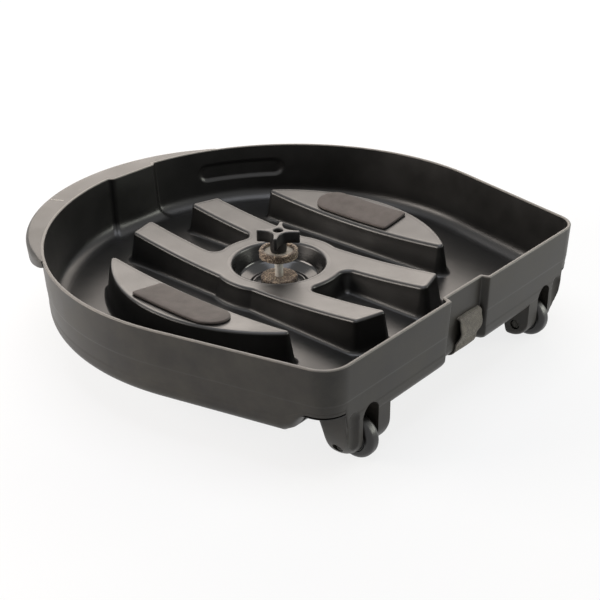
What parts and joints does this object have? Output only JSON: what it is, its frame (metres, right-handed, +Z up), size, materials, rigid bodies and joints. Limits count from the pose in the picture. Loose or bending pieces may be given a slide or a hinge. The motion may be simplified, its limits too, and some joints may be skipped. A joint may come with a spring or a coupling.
{
  "type": "wheeled cymbal case",
  "caption": "Open tray of a wheeled cymbal case: moulded D-shaped tray with bowed cradle, foam pads, felted post with a four-armed knob, side grip, strap and wheels.",
  "frame": {"origin": "on the floor, under the middle of the object's box", "axes": "+Z up from the floor, -Y out of the flat wall with the wheels, +Y out of the round end with the grip, X across the case along the axles"},
  "size_m": [0.6, 0.6092, 0.136],
  "materials": {
    "shell": "fine-grained satin rotomoulded polyethylene",
    "foam": "closed-cell foam",
    "felt": "pressed wool felt",
    "zinc": "zinc plated",
    "steel": "bright",
    "brass": "turned",
    "knob_plastic": "moulded nylon",
    "hub_plastic": "moulded nylon",
    "tyre": "solid moulded tyre",
    "bronze": "sintered",
    "webbing": "woven webbing"
  },
  "bodies": {
    "case": {"base_shell": "shell", "pad_left": "foam", "pad_right": "foam", "post_bolt": "steel", "post_washer_under": "zinc", "post_washer_floor": "zinc", "post_jam_nut": "zinc", "post_sleeve": "zinc", "felt_lower": "felt", "strap_front": "webbing", "strap_bar": "steel", "strap_plate": "steel", "strap_rivet_1": "steel", "strap_rivet_2": "steel", "axle_left": "steel", "axle_nut_left": "zinc", "wheel_washer_left_inner": "zinc", "wheel_washer_left_outer": "zinc", "axle_right": "steel", "axle_nut_right": "zinc", "wheel_washer_right_inner": "zinc", "wheel_washer_right_outer": "zinc"},
    "wheel_left": {"wheel_tyre_left": "tyre", "wheel_hub_left": "hub_plastic", "wheel_bush_left": "bronze"},
    "wheel_right": {"wheel_tyre_right": "tyre", "wheel_hub_right": "hub_plastic", "wheel_bush_right": "bronze"},
    "clamp": {"felt_upper": "felt", "felt_washer": "zinc"},
    "knob": {"knob": "knob_plastic", "knob_insert": "brass"}
  },
  "joints": [
    {"name": "wheel_left_spin", "type": "hinge", "parent": "case", "child": "wheel_left", "pos_m": [-0.172, -0.2796, 0.025], "axis": [1, 0, 0], "continuous": true},
    {"name": "wheel_right_spin", "type": "hinge", "parent": "case", "child": "wheel_right", "pos_m": [0.172, -0.2796, 0.025], "axis": [1, 0, 0], "continuous": true},
    {"name": "clamp_slide", "type": "slide", "parent": "case", "child": "clamp", "axis": [0, 0, 1], "range_m": [-0.0175, 0.006]},
    {"name": "knob_spin", "type": "hinge", "parent": "clamp", "child": "knob", "pos_m": [0, -0.0116, 0.1098], "axis": [0, 0, 1], "range_deg": [-5040, 1728]}
  ],
  "couplings": [
    {"joint": "clamp_slide", "follows": "knob_spin", "m_per_rad": 0.00019894}
  ]
}
